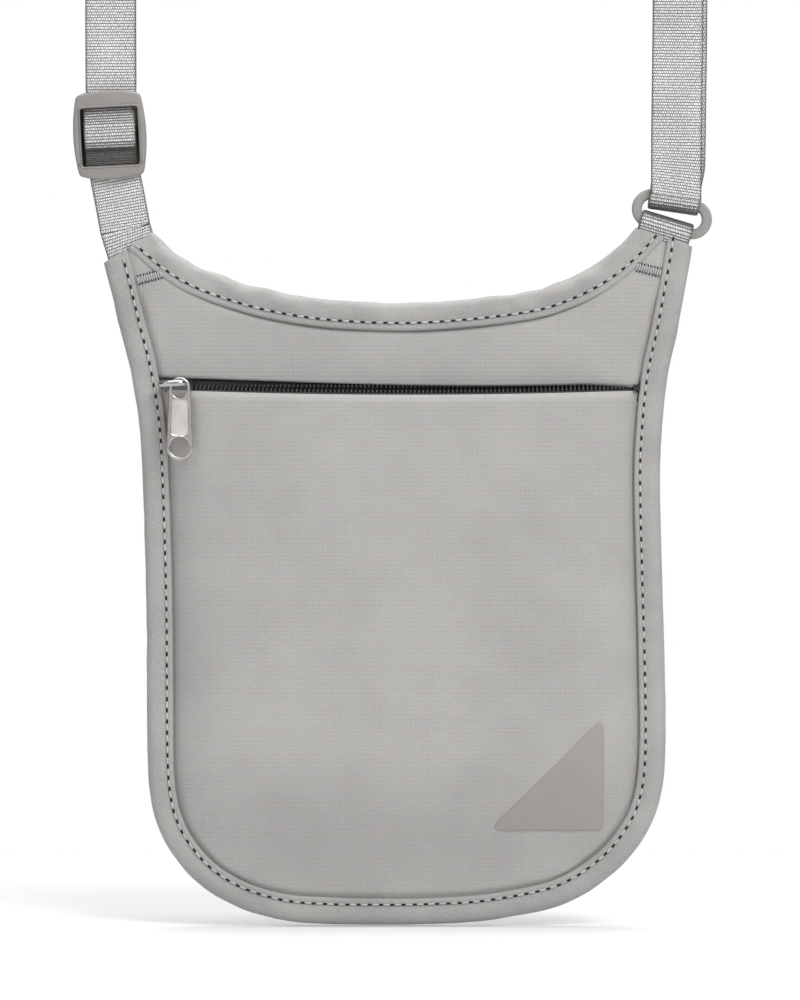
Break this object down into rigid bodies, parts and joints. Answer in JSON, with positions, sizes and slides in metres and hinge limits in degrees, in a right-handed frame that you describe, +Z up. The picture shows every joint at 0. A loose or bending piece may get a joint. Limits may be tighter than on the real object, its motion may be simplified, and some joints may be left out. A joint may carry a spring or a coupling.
{
  "type": "neck pouch wallet",
  "caption": "Flat fabric travel pouch with a zipped front pocket, hung from an adjustable webbing neck strap with a ring on one side and a slide adjuster on the other.",
  "frame": {"origin": "the underside of the strap's inner layer at its crown, in the middle of the part from side to side and in the strap's own plane, where a neck or a hook carries it", "axes": "+Z up, +X to the viewer's right when the zipped pocket faces them, -Y out of the pocket's front; the pouch hangs below the origin"},
  "size_m": [0.1824, 0.0168, 0.5175],
  "materials": {
    "shell_fabric": "satin woven nylon with a faint square dobby grid",
    "lining_fabric": "thin plain woven polyester",
    "binding_tape": "fine ribbed binding tape",
    "zip_tape": "matt woven zip tape",
    "zip_coil": "nylon monofilament coil",
    "slider_metal": "bright plate over a cast zinc body",
    "pull_metal": "satin nickel plate with a polished rim",
    "patch_leather": "matt coated synthetic leather",
    "thread": "twisted polyester thread",
    "webbing": "glossy ribbed nylon webbing",
    "cast_fitting": "matt grey coat over cast metal"
  },
  "bodies": {
    "strap": {"strap_front": "webbing", "strap_return": "webbing", "strap_return_left": "webbing", "ring_turn": "webbing", "anchor_loop": "webbing"},
    "pouch": {"back_panel": "shell_fabric", "back_lining": "lining_fabric", "upper_panel": "shell_fabric", "front_panel": "shell_fabric", "front_lining": "lining_fabric", "card_slip": "lining_fabric", "side_binding": "binding_tape", "neckline_binding": "binding_tape", "zip_tape_lower": "zip_tape", "zip_tape_upper": "zip_tape", "zip_coil_lower": "zip_coil", "zip_coil_upper": "zip_coil", "zip_stops": "zip_coil", "corner_patch": "patch_leather", "bar_tacks": "thread", "strap_tail": "webbing", "anchor_tail": "webbing"},
    "ring": {"ring": "cast_fitting"},
    "adjuster": {"adjuster_frame": "cast_fitting", "bar_wrap": "webbing", "strap_over_bar": "webbing"},
    "zip_slider": {"zip_slider": "slider_metal"},
    "zip_pull": {"zip_pull": "pull_metal"}
  },
  "joints": [
    {"name": "pouch_swing", "type": "hinge", "parent": "strap", "child": "pouch", "pos_m": [0, 0, -0.3177], "axis": [1, 0, 0], "range_deg": [-30, 30]},
    {"name": "ring_swing", "type": "hinge", "parent": "strap", "child": "ring", "pos_m": [0.0773, 0.00065, -0.3121], "axis": [0.9659, 0, -0.2588], "range_deg": [-5, 5]},
    {"name": "adjuster_slide", "type": "slide", "parent": "strap", "child": "adjuster", "axis": [0, 0, 1], "range_m": [0, 0.1], "deforming": ["strap_return_left"]},
    {"name": "zip_slide", "type": "slide", "parent": "pouch", "child": "zip_slider", "axis": [1, 0, 0], "range_m": [0, 0.123], "deforming": ["front_panel", "front_lining", "card_slip", "zip_tape_lower", "zip_coil_lower", "zip_tape_upper", "zip_coil_upper"]},
    {"name": "zip_pull_turn", "type": "hinge", "parent": "zip_slider", "child": "zip_pull", "pos_m": [-0.063, -0.0083, -0.36085], "axis": [-1, 0, 0], "range_deg": [0, 165]}
  ]
}
